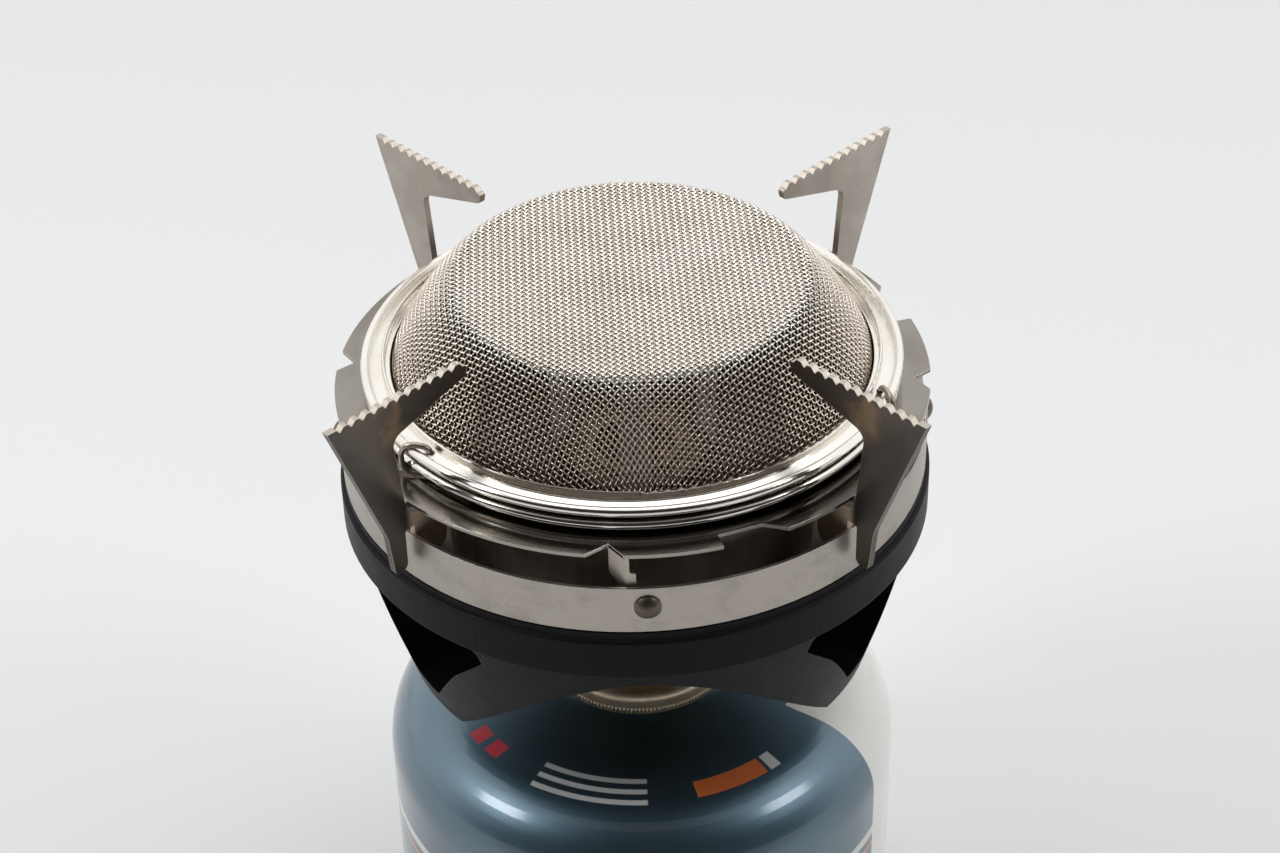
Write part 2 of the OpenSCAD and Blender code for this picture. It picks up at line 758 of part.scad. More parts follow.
// Radius of the sphere that domes a pin's head
function cap_r(h) = (pow(pin_head_d / 2, 2) + h * h) / (2 * h);

// Outline of an arm in its own plane: distance from the axis, height above the band's top
function arm_outline() =
    let (slot_in = band_in - run_gap, slot_out = band_r + notch_out)
    let (leg_in = plate_r + 0.4, leg_out = band_r + 4.2, leg_low = -5.8)
    let (lobe_in = cup_r + 1.1, lobe_top = notch_over + 2.5, lobe_low = leg_low + 0.2)
    let (pitch = (arm_out - arm_in - 1) / arm_teeth, tooth = 0.8, crest = 0.75)
    concat(
        rounded([
            [arm_out, arm_rise, 0], [leg_out + 0.5, 2, 8], [leg_out - 0.4, leg_low, 0.7],
            [slot_out, leg_low, 1.3], [slot_out, notch_over, 0.6], [slot_in, notch_over, 0.3],
            [slot_in, lobe_low, 0.8], [lobe_in, lobe_low, 2.6], [lobe_in, lobe_top, 2.6],
            [leg_in, lobe_top, 2.3], [leg_in + 1.6, arm_rise - 7, 2.2],
            [arm_in + 0.3, arm_rise - 2.6, 0.7], [arm_in, arm_rise - tooth, 0.5]
        ]),
        [for (i = [0:arm_teeth - 1]) let (r = arm_in + 0.8 + pitch * i)
            each [[r, arm_rise - tooth], [r + 0.3 * pitch, arm_rise], [r + 0.3 * pitch + crest, arm_rise]]]
    );

module pot_arm(i) {
    color(tinted) at(arm_az[i]) translate([0, 0, band_top]) rotate([90, 0, -90]) translate([0, 0, -arm_t / 2])
        linear_extrude(arm_t) polygon(arm_outline());
}

module front_left_arm() { pot_arm(0); }
module front_right_arm() { pot_arm(1); }
module rear_right_arm() { pot_arm(2); }
module rear_left_arm() { pot_arm(3); }

// Shroud

// Outside of the shroud's slope at a height
function cone_at(z) = cone_r - slope * (rim_bottom - z);

module shroud() {
    t = shroud_t;
    hub_r = tube_r + 1.5 + fit_gap;
    edge = 0.4;
    color(black) difference() {
        union() {
            rotate_extrude() polygon([
                [hub_r, floor_z - floor_t], [cone_r - t, floor_z - floor_t], [cone_r - t, rim_bottom],
                [cone_at(foot_z) - t, foot_z], [cone_at(foot_z), foot_z], [cone_r, rim_bottom],
                [shroud_r, rim_bottom], [shroud_r, rim_top - edge], [shroud_r - edge, rim_top],
                [band_r + 0.05, rim_top], [band_r + 0.05, ledge_z], [spigot_r, ledge_z],
                [spigot_r, spigot_top], [spigot_r - t, spigot_top], [spigot_r - t, floor_z], [hub_r, floor_z]
            ]);
            for (a = vents) at(a + shroud_turn) sill();
        }
        for (a = vents) at(a) {
            at(shroud_turn) window();
            translate([0, -screw_at, 0]) rod(screw_r + fit_gap, floor_z - floor_t - 1, floor_z + 1);
        }
        for (a = vents) at(a + 180 + shroud_turn) arch();
        for (i = [0:23]) at(15 * i) floor_slot();
    }
}

// Shelf that carries a window's V inward; the window cuts its upper side
module sill() {
    half = window_w / 2;
    top = rim_bottom - window_side;
    low = rim_bottom - window_h;
    inner = cone_at(foot_z) - sill_w;
    drop = 2.2;
    intersection() {
        rotate_extrude() polygon([
            [inner, foot_z], [cone_at(foot_z) - shroud_t / 2, foot_z],
            [cone_at(top) - shroud_t / 2, top], [inner, top]
        ]);
        rotate([90, 0, 0]) linear_extrude(shroud_r + 2) polygon([
            [-half, top], [-half, top - drop], [-3.6, low - drop],
            [3.6, low - drop], [half, top - drop], [half, top]
        ]);
    }
}

// Window under the rim: round upper corners, pointed sides and a V below
module window() {
    half = window_w / 2;
    tip = rim_bottom - window_side;
    low = rim_bottom - window_h;
    bend = [half - 0.44 * (half - 3.6), tip - 0.37 * (tip - low)];
    rotate([90, 0, 0]) linear_extrude(shroud_r + 2) polygon(rounded([
        [-half, rim_bottom - eps, 4], [-half, tip, 0.4], [-bend[0], bend[1], 40], [-3.6, low, 2],
        [3.6, low, 2], [bend[0], bend[1], 40], [half, tip, 0.4], [half, rim_bottom - eps, 4]
    ]));
}

// Arch between two feet, a parabola cut from the lower edge
module arch() {
    reach = cone_at(foot_z);
    foot_x = reach * sin(60 - asin(foot_w / 2 / reach));
    rise = rim_bottom - arch_drop - foot_z;
    steps = 18;
    past = 1.1;
    curve = [for (i = [-steps:steps]) let (f = past * i / steps) [foot_x * f, foot_z + rise * (1 - f * f)]];
    rotate([90, 0, 0]) translate([0, 0, 0.545 * reach]) linear_extrude(shroud_r) polygon(curve);
}

// Air slot through the shroud's floor
module floor_slot() {
    length = 7;
    width = 2.4;
    reach = cup_r + cup_corner;
    translate([-width / 2, -reach, floor_z - floor_t - 1]) cube([width, length, floor_t + 2]);
}

module shroud_screws() {
    length = floor_t + sheet + 2.6;
    color("silver") for (a = vents) at(a) translate([0, -screw_at, floor_z - floor_t]) difference() {
        union() {
            translate([0, 0, -1.8]) cylinder(r = screw_head_r, h = 1.8);
            translate([0, 0, -eps]) cylinder(r = screw_r, h = length);
        }
        translate([0, 0, -3]) cylinder(d = 2.4, h = 2.4, $fn = 6);
    }
}

module shroud_nuts() {
    color("silver") for (a = vents) at(a) translate([0, -screw_at, floor_z + sheet]) difference() {
        hex(5.5, 0, 2.2);
        translate([0, 0, -1]) cylinder(r = screw_r + fit_gap, h = 5);
    }
}

canister_shell();
canister_base();
valve_cup();
valve_collar();
valve_gasket();
valve_stem();
valve_spring();
valve_housing();
valve_body();
canister_seal();
valve_pin();
gas_filter();
spindle();
spindle_seal();
gland_nut();
wire_handle();
jet();
mixing_tube();
tube_nut();
burner_cup();
flame_spreader();
rim_gasket();
mesh_dome();
retaining_ring();
wire_ties();
bayonet_plate();
locking_band();
lock_pins();
front_left_arm();
front_right_arm();
rear_right_arm();
rear_left_arm();
shroud();
shroud_screws();
shroud_nuts();
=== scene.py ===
# Looks of the canister stove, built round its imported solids. Metres, +Z up, front towards -Y.
import json
import math

import bpy
import numpy as np
from mathutils import Matrix, Vector


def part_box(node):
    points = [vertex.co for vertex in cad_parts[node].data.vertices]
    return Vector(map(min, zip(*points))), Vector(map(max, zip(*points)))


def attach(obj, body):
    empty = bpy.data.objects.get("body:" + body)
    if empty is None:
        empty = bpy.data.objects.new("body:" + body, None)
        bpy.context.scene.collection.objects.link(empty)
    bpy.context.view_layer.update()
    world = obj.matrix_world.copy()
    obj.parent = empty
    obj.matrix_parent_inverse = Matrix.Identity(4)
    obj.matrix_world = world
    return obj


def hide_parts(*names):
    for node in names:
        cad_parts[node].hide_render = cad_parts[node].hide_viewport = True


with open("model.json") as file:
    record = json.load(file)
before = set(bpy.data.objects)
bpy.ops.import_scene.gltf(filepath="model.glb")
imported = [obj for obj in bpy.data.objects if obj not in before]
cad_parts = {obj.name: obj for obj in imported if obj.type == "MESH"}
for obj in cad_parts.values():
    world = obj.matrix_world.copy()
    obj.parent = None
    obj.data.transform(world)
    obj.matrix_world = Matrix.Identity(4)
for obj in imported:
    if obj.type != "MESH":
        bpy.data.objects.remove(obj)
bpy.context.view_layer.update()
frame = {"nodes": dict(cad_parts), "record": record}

MM = 0.001
ALL_WAYS = (1, 1, 1)

# Camera: metres, degrees, and the lens as a focal length in pixels of the photograph
CAM_AT = (0.0, -0.3541, 0.3676)
CAM_PITCH = -35.92
CAM_YAW = 0.162
CAM_ROLL = -1.471
FOCAL_PX = 2632
IMAGE_W = 1280
SENSOR = 36

# Wire cloth of the dome
DOME_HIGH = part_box("mesh_dome")[1]
CLOTH_T = 0.8 * MM
WIRE_R = 0.18 * MM
PITCH = 0.87 * MM
CREASE_R = 29 * MM
CROWN = 0.4 * MM
SKIRT = 3 * MM
SKIRT_LEAN = 0.1 * MM
SLOPE_R = DOME_HIGH.x - SKIRT_LEAN
SLOPE_DROP = 14.8 * MM
SWELL = 0.9 * MM
CREASE_SOFT = 1.4 * MM
WEAVE_TURN = math.radians(-43)
WIRE_SIDES = 5
LINE_STEP = 0.1 * MM
LINE_POINTS = 60
SOLVE_ROUNDS = 14

# Wire ties and crimped teeth
TIE_TURNS = (-54, 66, 186)
TIE_SKEW = math.radians(46)
TIE_R = 44.7 * MM
TIE_W = 4.75 * MM
TIE_TAIL = 2 * MM
TIE_WIRE_R = 0.5 * MM
TIE_SIDES = 12
CURL_FOOT = 61.7 * MM
CRIMP_TEETH = 150
TOOTH_OUT = 0.14 * MM
TOOTH_H = 1.1 * MM

# Paint of the canister: heights and radii, and turns from the front in degrees
SHOULDER_Z = 46.5 * MM
PALE_RING = (36 * MM, 38 * MM)
ORANGE_RING = (33.6 * MM, 34.4 * MM)
PANEL_IN = 28 * MM
PANEL_TURNS = (63, 128)
PRINT_EDGE = 0.12 * MM

# Places that the other looks pick out: heights and radii, and turns from the front in radians
SEAM_TURNS = (-0.539, 0.603)
SEAM_HALF = 0.003
SEAM_FOOT = 96 * MM
BAND_MID = 48.3 * MM
PLATE_MID = 46 * MM
# Turns of the plate that get a painted dark reflection
PLATE_DARK_REFLECTION = (0.35, 1.1)
PLATE_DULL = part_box("bayonet_plate")[1].z - 0.7 * MM
RING_MID = 43 * MM
FLANGE = (40.9 * MM, 42.5 * MM)
LIP_OUT = 40.8 * MM
# Turns over which the painted shade on the ring's lip fades out
LIP_FRONT = (0.5, 0.85)
CUP_MID = 40 * MM
CUP_SKIN = 40.1 * MM
CUP_RIM = 122.7 * MM
ARM_RUN = (38 * MM, 60 * MM)
STRAW_BAND = (48.8 * MM, 51.2 * MM)
STRAW_RISE = (133 * MM, 137 * MM)
SCALE_DROP = (126 * MM, 120 * MM)
SCALE_RUN = (49.6 * MM, 47.8 * MM)
# Turns where the painted shade on the dome's front slope gives way to painted light at its sides
DOME_SIDE = (0.6, 1.4)
DOME_DROP = (141 * MM, 138 * MM)

# Room: where it brightens along Y, its least and most light, and its strength as a backdrop
ROOM_RUN = (-0.52, 0.15)
ROOM_LIGHT = (0.025, 1.1)
BACKDROP = 0.58
FLOOR_R = 4.0
FLOOR_SIDES = 96


class Look:
    """A material on one Principled shader, with short ways to add nodes to it."""

    def __init__(self, name, **sockets):
        self.material = bpy.data.materials.new(name)
        self.material.use_nodes = True
        self.tree = self.material.node_tree
        self.shader = self.tree.nodes["Principled BSDF"]
        self.spot = self.add("TexCoord").outputs["Object"]
        for socket, value in sockets.items():
            self.set(socket.replace("_", " ").title().replace("Ior", "IOR"), value)

    def plug(self, socket, value):
        """Links an output to the socket, or sets the socket's own value."""
        if isinstance(value, bpy.types.NodeSocket):
            self.tree.links.new(value, socket)
        elif hasattr(socket.default_value, "__len__") and len(socket.default_value) == 4:
            socket.default_value = (*value, 1)
        else:
            socket.default_value = value

    def set(self, name, value):
        """Links or sets an input of the shader."""
        self.plug(self.shader.inputs[name], value)

    def add(self, kind, inputs=(), **settings):
        """New node with its inputs, by name or number, and its settings."""
        node = self.tree.nodes.new("ShaderNode" + kind)
        for name, value in settings.items():
            setattr(node, name, value)
        for key, value in dict(inputs).items():
            self.plug(node.inputs[key], value)
        return node

    def math(self, operation, a, b=0.0):
        """Result of a sum on one or two values."""
        return self.add("Math", {0: a, 1: b}, operation=operation).outputs[0]

    def noise(self, size, detail=3.0, stretch=ALL_WAYS, at=None, rough=0.55):
        """Noise from 0 to 1, with grains about size long that stretch draws out along the axes."""
        scale = [1 / (size * s) for s in stretch]
        place = self.add("Mapping", {"Vector": at or self.spot, "Scale": scale})
        grain = {"Vector": place.outputs[0], "Scale": 1.0, "Detail": detail, "Roughness": rough}
        return self.add("TexNoise", grain).outputs["Fac"]

    def fade(self, value, start, end, low=0.0, high=1.0):
        """Smooth step of a value from low to high between start and end."""
        limits = {"Value": value, "From Min": start, "From Max": end, "To Min": low, "To Max": high}
        return self.add("MapRange", limits, interpolation_type="SMOOTHSTEP").outputs[0]

    def between(self, value, start, end, soft):
        """Mask of 1 where a value lies between start and end."""
        rise = self.fade(value, start - soft, start + soft)
        return self.math("MULTIPLY", rise, self.fade(value, end - soft, end + soft, 1.0, 0.0))

    def mix(self, mask, a, b):
        """Colour a where the mask is 0, and colour b where it is 1."""
        node = self.add("Mix", data_type="RGBA")
        self.plug(node.inputs["Factor"], mask)
        self.plug(node.inputs[6], a)
        self.plug(node.inputs[7], b)
        return node.outputs[2]

    def polar(self):
        """Distance from the stove's axis, turn from the front towards +X in radians, and height."""
        x, y, z = self.add("SeparateXYZ", {0: self.spot}).outputs
        flat = self.math("ADD", self.math("MULTIPLY", x, x), self.math("MULTIPLY", y, y))
        turn = self.math("ARCTAN2", x, self.math("MULTIPLY", y, -1.0))
        return self.math("SQRT", flat), turn, z

    def round_spot(self, radius):
        """Place on a turned surface: along its round, its height and its radius, in metres."""
        r, turn, z = self.polar()
        along = self.math("MULTIPLY", turn, radius)
        return self.add("CombineXYZ", {0: along, 1: z, 2: r}).outputs[0]

    def soft_edge(self, radius):
        """Rounds sharp edges in the shading, and returns a mask of them."""
        soft = self.add("Bevel", {"Radius": radius}, samples=4).outputs[0]
        true = self.add("NewGeometry").outputs["Normal"]
        same = self.add("VectorMath", {0: soft, 1: true}, operation="DOT_PRODUCT").outputs["Value"]
        self.set("Normal", soft)
        return self.fade(same, 0.98, 0.82)

    def lean(self, amount):
        """Tilts the shading outwards from the stove's axis, by the share of a flat normal given."""
        x, y, z = self.add("SeparateXYZ", {0: self.spot}).outputs
        flat = self.add("CombineXYZ", {0: x, 1: y}).outputs[0]
        out = self.add("VectorMath", {0: flat}, operation="NORMALIZE").outputs[0]
        to_world = {"vector_type": "VECTOR", "convert_from": "OBJECT", "convert_to": "WORLD"}
        out = self.add("VectorTransform", {0: out}, **to_world).outputs[0]
        out = self.add("VectorMath", {0: out, "Scale": amount}, operation="SCALE").outputs[0]
        below = self.shader.inputs["Normal"].links[0].from_socket
        both = self.add("VectorMath", {0: below, 1: out}, operation="ADD").outputs[0]
        self.set("Normal", self.add("VectorMath", {0: both}, operation="NORMALIZE").outputs[0])

    def bump(self, height, depth, strength=1.0):
        """Relief of the given depth on top of what already shapes the normal."""
        socket = self.shader.inputs["Normal"]
        below = socket.links[0].from_socket if socket.links else None
        inputs = {"Height": height, "Distance": depth, "Strength": strength}
        node = self.add("Bump", inputs)
        if below:
            self.plug(node.inputs["Normal"], below)
        self.set("Normal", node.outputs[0])


# Materials

def can_paint():
    """Blue-grey metallic lacquer with a plain pale panel, rings and ticks."""
    look = Look("can_paint", coat_weight=1.0, coat_roughness=0.15)
    look.soft_edge(3 * MM)
    r, turn, z = look.polar()
    flake = look.noise(0.25 * MM, 2)
    cloud = look.noise(22 * MM, 3)
    base = look.mix(look.fade(cloud, 0.3, 0.7), (0.084, 0.143, 0.188), (0.093, 0.155, 0.201))
    base = look.mix(look.fade(flake, 0.55, 0.8, 0.0, 0.3), base, (0.16, 0.23, 0.27))
    pale, orange, red = (0.60, 0.62, 0.61), (0.62, 0.15, 0.035), (0.52, 0.03, 0.05)
    white = (0.74, 0.74, 0.70)
    shoulder = look.fade(z, SHOULDER_Z, SHOULDER_Z + 0.3 * MM)
    prints = []

    def bar(angle, width, middle, depth, tone):
        """Plain bar on the shoulder: its turn and width in degrees, its radius and depth in mm."""
        half = math.radians(width / 2)
        sides = look.between(turn, math.radians(angle) - half, math.radians(angle) + half, 0.003)
        level = look.between(r, (middle - depth / 2) * MM, (middle + depth / 2) * MM, PRINT_EDGE)
        prints.append((look.math("MULTIPLY", look.math("MULTIPLY", sides, level), shoulder), tone))

    for radius in (30.4, 32.6, 34.8):
        bar(angle=-16, width=34, middle=radius, depth=1.0, tone=pale)
    bar(angle=26, width=22, middle=33.4, depth=3.4, tone=orange)
    bar(angle=40, width=3.6, middle=33.4, depth=3.4, tone=pale)
    for angle in (-58, -50):
        bar(angle, width=5.4, middle=32.6, depth=3.2, tone=red)
    prints.append((look.between(z, *PALE_RING, PRINT_EDGE), pale))
    prints.append((look.between(z, *ORANGE_RING, PRINT_EDGE), orange))
    sides = look.between(turn, *(math.radians(a) for a in PANEL_TURNS), 0.004)
    panel = look.math("MULTIPLY", sides, look.fade(r, PANEL_IN - 0.1 * MM, PANEL_IN + 0.1 * MM))
    prints.append((panel, white))
    metal = 0.9
    for mask, tone in prints:
        base = look.mix(mask, base, tone)
        metal = look.math("MULTIPLY", metal, look.math("SUBTRACT", 1.0, mask))
    look.set("Base Color", base)
    look.set("Metallic", metal)
    look.set("Roughness", look.fade(flake, 0.3, 0.75, 0.34, 0.44))
    look.bump(look.noise(1.2 * MM, 2), 0.004 * MM, 0.5)
    return look.material


def black_plastic():
    """Moulded black plastic with a fine grain and two mould seams, paler along its edges."""
    look = Look("black_plastic", metallic=0.0, specular_ior_level=0.11)
    edge = look.soft_edge(0.35 * MM)
    cloud = look.noise(14 * MM, 4)
    base = look.mix(cloud, (0.0034, 0.0033, 0.0048), (0.0044, 0.0043, 0.0060))
    base = look.mix(look.math("MULTIPLY", edge, 0.6), base, (0.034, 0.034, 0.037))
    look.set("Base Color", base)
    grain = look.noise(0.35 * MM, 2)
    look.set("Roughness", look.fade(look.noise(3 * MM, 3), 0.2, 0.8, 0.43, 0.49))
    _, turn, z = look.polar()
    lines = [look.between(turn, a - SEAM_HALF, a + SEAM_HALF, 0.002) for a in SEAM_TURNS]
    seam = look.math("MULTIPLY", look.math("ADD", *lines), look.fade(z, SEAM_FOOT, SEAM_FOOT + MM))
    look.bump(grain, 0.012 * MM, 0.6)
    look.bump(seam, -0.06 * MM, 0.5)
    return look.material


def brushed_steel():
    """Steel strip with fine lines round its run, a few stains, bright edges, and painted light over its
    inside.
    """
    look = Look("brushed_steel", metallic=1.0)
    tone, dark = (0.44, 0.405, 0.365), (0.35, 0.318, 0.283)
    edge = look.soft_edge(0.12 * MM)
    spot = look.round_spot(BAND_MID)
    lines = look.noise(0.12 * MM, 4, (12, 1, 1), spot)
    stain = look.noise(5 * MM, 6, (1.2, 1, 1), spot, 0.7)
    base = look.mix(look.fade(lines, 0.2, 0.8, 0.3, 0.7), dark, tone)
    base = look.mix(look.fade(stain, 0.45, 0.75, 0.0, 0.6), base, [0.72 * c for c in dark])
    # Painted light: the band's inner face is made nearly white so that the cup's wall reflects light
    # from it.
    inside = look.fade(look.polar()[0], BAND_MID - 0.2 * MM, BAND_MID - 0.3 * MM)
    base = look.mix(inside, base, (0.95, 0.91, 0.85))
    base = look.mix(look.math("MULTIPLY", edge, 0.7), base, (0.80, 0.78, 0.74))
    look.set("Base Color", base)
    look.set("Roughness", look.fade(lines, 0.2, 0.8, 0.30, 0.46))
    look.bump(lines, 0.006 * MM, 0.5)
    return look.material


def plate_steel():
    """Polished plate with hair lines round it and heat colours, a painted dark reflection on one side,
    and dull hooks.
    """
    look = Look("plate_steel", metallic=1.0)
    tone, heat, dark_reflection_share = (0.31, 0.288, 0.26), (0.23, 0.206, 0.18), 0.6
    edge = look.soft_edge(0.12 * MM)
    spot = look.round_spot(PLATE_MID)
    lines = look.noise(0.2 * MM, 4, (80, 1, 1), spot)
    cloud = look.noise(11 * MM, 4, (2, 1, 1), spot)
    base = look.mix(look.fade(cloud, 0.4, 0.75), tone, heat)
    _, turn, z = look.polar()
    # Painted dark reflection: the plate is darkened over these turns on its right front.
    base = look.mix(look.between(turn, *PLATE_DARK_REFLECTION, 0.2), base, [(1 - dark_reflection_share) * c for c in heat])
    base = look.mix(edge, base, (0.86, 0.84, 0.80))
    dull = look.fade(z, PLATE_DULL, PLATE_DULL - 0.1 * MM)
    base = look.mix(dull, base, (0.44, 0.40, 0.35))
    look.set("Base Color", base)
    haze = look.math("ADD", look.fade(lines, 0.2, 0.8, 0.10, 0.19), look.fade(cloud, 0.3, 0.8, 0, 0.06))
    look.set("Roughness", look.math("ADD", haze, look.math("MULTIPLY", dull, 0.3)))
    look.bump(lines, 0.003 * MM, 0.4)
    return look.material


def ring_steel():
    """Polished ring whose flange leans out to its rolled bead, with painted shade on its lip at the
    front.
    """
    look = Look("ring_steel", metallic=1.0)
    edge = look.soft_edge(0.3 * MM)
    spot = look.round_spot(RING_MID)
    lines = look.noise(0.2 * MM, 4, (80, 1, 1), spot)
    cloud = look.noise(11 * MM, 4, (2, 1, 1), spot)
    r, turn, _ = look.polar()
    flange = look.between(r, *FLANGE, 0.15 * MM)
    # Painted shade: the lip is darkened only towards the front, where it lies in shadow.
    front = look.fade(look.math("ABSOLUTE", turn), *LIP_FRONT, 1.0, 0.0)
    painted_lip_shade = look.math("MULTIPLY", look.fade(r, LIP_OUT, LIP_OUT - 0.2 * MM), front)
    base = look.mix(look.fade(cloud, 0.4, 0.75), (0.87, 0.84, 0.78), (0.76, 0.71, 0.64))
    base = look.mix(painted_lip_shade, base, (0.20, 0.175, 0.15))
    look.set("Base Color", look.mix(edge, base, (0.86, 0.84, 0.80)))
    haze = look.math("ADD", look.fade(lines, 0.2, 0.8, 0.08, 0.17), look.fade(cloud, 0.3, 0.8, 0, 0.06))
    look.set("Roughness", look.math("ADD", haze, look.math("MULTIPLY", flange, 0.12)))
    look.lean(look.math("MULTIPLY", flange, 0.36))
    look.bump(lines, 0.003 * MM, 0.4)
    return look.material


def cup_steel():
    """Deep drawn steel: pale upright streaks outside as painted soft reflections, and a dark inside as
    painted shade.
    """
    look = Look("cup_steel", metallic=1.0)
    r, _, z = look.polar()
    spot = look.round_spot(CUP_MID)
    painted_sheen_streak = look.noise(4 * MM, 3, (1, 9, 1), spot)
    cloud = look.noise(8 * MM, 3)
    # Painted reflections: the outside is made pale, with broad upright streaks that stand in for soft
    # reflections on the wall.
    outside = look.mix(look.fade(painted_sheen_streak, 0.3, 0.7), (0.96, 0.87, 0.77), (0.70, 0.58, 0.46))
    rim = look.fade(z, CUP_RIM, CUP_RIM + 0.4 * MM)
    outside = look.mix(rim, outside, (0.80, 0.76, 0.70))
    # Painted shade: the inside of the wall is made nearly black, as shade in the hollow under the dome.
    inside = look.mix(cloud, (0.085, 0.070, 0.058), (0.055, 0.045, 0.038))
    wall = look.fade(r, CUP_SKIN, CUP_SKIN + 0.25 * MM)
    look.set("Base Color", look.mix(wall, inside, outside))
    rough = look.fade(painted_sheen_streak, 0.2, 0.8, 0.50, 0.62)
    look.set("Roughness", look.math("SUBTRACT", rough, look.math("MULTIPLY", rim, 0.4)))
    look.bump(painted_sheen_streak, 0.01 * MM, 0.4)
    return look.material


def tinted_steel(name, hot, cool, straw):
    """Stamped steel coloured by the flame: a straw band, brown scale on the foot made pale as painted
    light, bare edges, and a painted highlight on faces that look upward.
    """
    look = Look(name, metallic=1.0)
    edge = look.soft_edge(0.12 * MM)
    r, _, z = look.polar()
    cloud = look.noise(6 * MM, 5)
    grain = look.noise(0.3 * MM, 3, (1, 1, 4))
    away = look.math("ADD", look.fade(r, *ARM_RUN, 0.0, 0.6), look.fade(cloud, 0.3, 0.7, 0.0, 0.4))
    base = look.mix(away, hot, cool)
    wander = look.math("ADD", r, look.fade(cloud, 0.3, 0.7, -2 * MM, 2 * MM))
    band = look.between(wander, *STRAW_BAND, 1.4 * MM)
    base = look.mix(look.math("MULTIPLY", band, look.fade(z, *STRAW_RISE)), base, straw)
    # Brown scale on the foot of each arm, partly real oxide, with its colour made pale as painted light
    # where it lies in shade between band and cup.
    lobe = look.math("MULTIPLY", look.fade(z, *SCALE_DROP), look.fade(r, *SCALE_RUN))
    scale = look.mix(look.noise(0.8 * MM, 3), (0.80, 0.62, 0.47), (0.55, 0.42, 0.31))
    base = look.mix(lobe, base, scale)
    look.set("Metallic", look.math("SUBTRACT", 1.0, look.math("MULTIPLY", lobe, 0.8)))
    # Painted highlight: faces that look upward are made lighter.
    painted_top_light = look.add("SeparateXYZ", {0: look.add("NewGeometry").outputs["Normal"]}).outputs[2]
    base = look.mix(look.math("MULTIPLY", edge, 0.8), base, (0.74, 0.70, 0.64))
    base = look.mix(look.fade(painted_top_light, 0.25, 0.6), base, (0.47, 0.425, 0.37))
    look.set("Base Color", base)
    rough = look.fade(grain, 0.2, 0.8, 0.36, 0.46)
    look.set("Roughness", look.math("ADD", rough, look.math("MULTIPLY", lobe, 0.15)))
    look.bump(grain, 0.004 * MM, 0.4)
    return look.material


def mesh_steel():
    """Drawn stainless wire, a little straw coloured in places, darker and browner on the front of the
    slope as painted shade, and paler on its sides as painted light.
    """
    look = Look("mesh_steel", metallic=1.0)
    cloud = look.noise(9 * MM, 4)
    fine = look.noise(0.4 * MM, 3)
    _, turn, z = look.polar()
    base = look.mix(look.fade(cloud, 0.35, 0.75), (0.77, 0.73, 0.67), (0.69, 0.64, 0.57))
    # Painted shade and light: the slope is darkened at the front and made paler at the sides.
    painted_side_light = look.fade(look.math("ABSOLUTE", turn), *DOME_SIDE)
    slope = look.mix(painted_side_light, (0.50, 0.42, 0.35), (0.88, 0.80, 0.71))
    base = look.mix(look.fade(z, *DOME_DROP), base, slope)
    look.set("Base Color", look.mix(look.fade(fine, 0.5, 0.8, 0.0, 0.4), base, (0.56, 0.49, 0.42)))
    look.set("Roughness", look.fade(fine, 0.2, 0.8, 0.15, 0.30))
    return look.material


def turned_metal(name, tone, dark, smooth, lines_along=(60, 1, 60)):
    """Turned metal with tool lines round it and a dull bloom."""
    look = Look(name, metallic=1.0)
    edge = look.soft_edge(0.15 * MM)
    lines = look.noise(0.15 * MM, 3, lines_along)
    bloom = look.noise(4 * MM, 5)
    base = look.mix(look.fade(bloom, 0.35, 0.75), tone, dark)
    base = look.mix(look.math("MULTIPLY", edge, 0.6), base, [min(1.0, 1.3 * c) for c in tone])
    look.set("Base Color", base)
    look.set("Roughness", look.fade(bloom, 0.25, 0.8, smooth, smooth + 0.16))
    look.bump(lines, 0.006 * MM, 0.5)
    return look.material


def gold_lacquer():
    """Gold lacquer on tinplate, a little worn."""
    look = Look("gold_lacquer", metallic=1.0)
    cloud = look.noise(3 * MM, 4)
    look.set("Base Color", look.mix(cloud, (0.90, 0.76, 0.57), (0.76, 0.62, 0.44)))
    look.set("Roughness", look.fade(cloud, 0.25, 0.75, 0.38, 0.50))
    look.bump(look.noise(0.4 * MM, 3), 0.01 * MM, 0.4)
    return look.material


def sintered():
    """Pressed bronze grains."""
    look = Look("sintered", metallic=1.0)
    cells = look.add("TexVoronoi", {"Vector": look.spot, "Scale": 1 / (0.25 * MM)})
    gap = cells.outputs["Distance"]
    look.set("Base Color", look.mix(gap, (0.56, 0.46, 0.30), (0.22, 0.17, 0.10)))
    look.set("Roughness", look.fade(gap, 0.1, 0.8, 0.42, 0.75))
    look.bump(gap, -0.06 * MM)
    return look.material


def soft_solid(name, tone, dark, low, high):
    """Rubber or moulded plastic with a fine matt grain."""
    look = Look(name)
    grain = look.noise(0.3 * MM, 3)
    cloud = look.noise(4 * MM, 4)
    look.set("Base Color", look.mix(cloud, tone, dark))
    look.set("Roughness", look.fade(grain, 0.2, 0.8, low, high))
    look.bump(grain, 0.015 * MM, 0.6)
    return look.material


